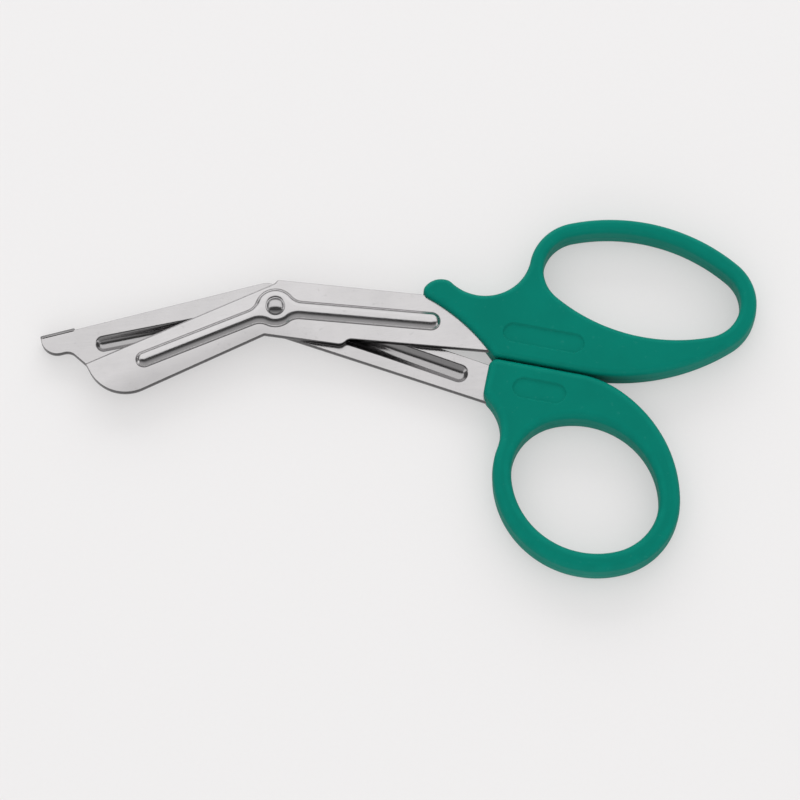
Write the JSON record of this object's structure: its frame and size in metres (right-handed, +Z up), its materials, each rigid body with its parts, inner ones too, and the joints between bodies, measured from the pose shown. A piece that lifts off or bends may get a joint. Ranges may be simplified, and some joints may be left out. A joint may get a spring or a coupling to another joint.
{
  "type": "bandage scissors",
  "caption": "Angled bandage scissors with ribbed steel blades on a rivet, a blunt folded foot at the lower tip, and moulded green handles with a long finger loop and a round thumb loop.",
  "frame": {"origin": "on the pivot's axis, level with the table, at the middle of the rivet's flat rear head", "axes": "+X along the scissors from the tips to the loops, +Y across them towards the finger loop, +Z up from the table along the pivot's axis"},
  "size_m": [0.1911, 0.0994, 0.0088],
  "materials": {
    "blade_steel": "satin",
    "handle_plastic": "satin moulded",
    "rivet_steel": "polished"
  },
  "bodies": {
    "rear_half": {"rear_blade": "blade_steel", "thumb_handle": "handle_plastic", "pivot_rivet": "rivet_steel"},
    "front_half": {"front_blade": "blade_steel", "finger_handle": "handle_plastic"}
  },
  "joints": [
    {"name": "pivot", "type": "hinge", "parent": "rear_half", "child": "front_half", "pos_m": [0, 0, 0.0044], "axis": [0, 0, 1], "range_deg": [0, 65]}
  ]
}
